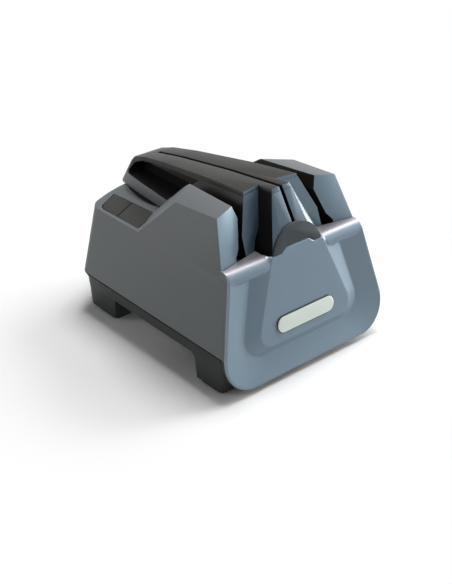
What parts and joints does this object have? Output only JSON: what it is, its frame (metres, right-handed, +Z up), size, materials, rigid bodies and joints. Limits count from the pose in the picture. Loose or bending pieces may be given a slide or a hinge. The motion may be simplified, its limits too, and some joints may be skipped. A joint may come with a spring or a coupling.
{
  "type": "electric knife sharpener",
  "caption": "Countertop electric belt knife sharpener: moulded housing on legs, dished front cover with blade rests, lift-off blade guide with a honing slot, and a rocker switch.",
  "frame": {"origin": "on the counter, under the middle of the outline, at the underside of the foot pads", "axes": "+Y from the dished front cover to the back, +Z up, +X to the right as seen from the front"},
  "size_m": [0.1294, 0.1696, 0.1093],
  "materials": {
    "housing": "fine grained moulding",
    "tray": "fine grained moulding",
    "cover": "satin metallic paint",
    "badge": "smooth pale plate",
    "guide": "satin moulding",
    "guide_top": "soft-touch",
    "disc": "satin moulding",
    "rocker": "fine grained moulding",
    "rubber": "matte",
    "steel": "ground",
    "dark_steel": "black oxide",
    "polymer": "moulded",
    "ceramic": "fine ceramic",
    "belt": "abrasive grain on cloth",
    "board": "lacquered"
  },
  "bodies": {
    "body": {"base_tray": "tray", "main_housing": "housing", "front_cover": "cover", "badge_plate": "badge", "foot_pad_front_left": "rubber", "foot_pad_front_right": "rubber", "foot_pad_rear_left": "rubber", "foot_pad_rear_right": "rubber", "base_screw_front_left": "dark_steel", "base_screw_front_right": "dark_steel", "base_screw_rear_left": "dark_steel", "base_screw_rear_right": "dark_steel", "cover_screw_left": "dark_steel", "cover_screw_right": "dark_steel", "frame_screw_left": "dark_steel", "frame_screw_right": "dark_steel", "idler_axle_left": "steel", "idler_axle_right": "steel", "rocker_pivot_pin": "steel", "control_board": "board", "rocker_key_front": "polymer", "rocker_key_rear": "polymer", "abrasive_belt": "belt", "drive_bearing": "steel", "transfer_belt": "rubber", "tension_pivot_pin": "steel", "tension_spring": "steel", "belt_frame": "dark_steel", "motor_can": "steel", "motor_end_cap": "polymer", "motor_cradle": "polymer", "motor_strap": "dark_steel", "power_inlet": "polymer", "inlet_pin": "steel"},
    "guide": {"guide_body": "guide", "guide_top_cover": "guide_top", "guide_front_disc": "disc", "honing_rod_front": "ceramic", "honing_rod_rear": "ceramic"},
    "rocker": {"power_rocker": "rocker"},
    "rotor": {"motor_shaft": "steel", "motor_armature": "dark_steel", "motor_pulley": "polymer", "cooling_fan": "polymer"},
    "drive": {"drive_shaft": "steel", "drive_pulley": "polymer", "driven_pulley": "polymer"},
    "arm": {"tension_arm": "dark_steel", "tension_axle": "steel"},
    "tension_roller": {"tension_pulley": "polymer"},
    "idler_roller_left": {"idler_pulley_left": "polymer"},
    "idler_roller_right": {"idler_pulley_right": "polymer"}
  },
  "joints": [
    {"name": "guide_lift", "type": "slide", "parent": "body", "child": "guide", "axis": [0, 0, 1], "range_m": [0, 0.04]},
    {"name": "rocker_tilt", "type": "hinge", "parent": "body", "child": "rocker", "pos_m": [-0.0414, 0.043, 0.0662], "axis": [0.8926, 0.4509, 0], "range_deg": [-3, 3], "stiffness_Nm_per_rad": 0.2},
    {"name": "rotor_spin", "type": "hinge", "parent": "body", "child": "rotor", "pos_m": [0.006, 0.0092, 0.043], "axis": [0, 1, 0], "continuous": true},
    {"name": "drive_spin", "type": "hinge", "parent": "body", "child": "drive", "pos_m": [0.0417, -0.036, 0.05], "axis": [0, 1, 0], "continuous": true},
    {"name": "arm_swing", "type": "hinge", "parent": "body", "child": "arm", "pos_m": [-0.0333, -0.0356, 0.0319], "axis": [0, 1, 0], "range_deg": [0, 8], "stiffness_Nm_per_rad": 1, "springref_deg": -8.59},
    {"name": "tension_roller_spin", "type": "hinge", "parent": "arm", "child": "tension_roller", "pos_m": [-0.0417, -0.04405, 0.05], "axis": [0, 1, 0], "continuous": true},
    {"name": "idler_left_spin", "type": "hinge", "parent": "body", "child": "idler_roller_left", "pos_m": [-0.0222, -0.04405, 0.0795], "axis": [0, 1, 0], "continuous": true},
    {"name": "idler_right_spin", "type": "hinge", "parent": "body", "child": "idler_roller_right", "pos_m": [0.0222, -0.04405, 0.0795], "axis": [0, 1, 0], "continuous": true}
  ],
  "couplings": [
    {"joint": "drive_spin", "follows": "rotor_spin", "ratio": 0.55556},
    {"joint": "tension_roller_spin", "follows": "rotor_spin", "ratio": 0.55556},
    {"joint": "idler_left_spin", "follows": "rotor_spin", "ratio": 1},
    {"joint": "idler_right_spin", "follows": "rotor_spin", "ratio": 1}
  ]
}
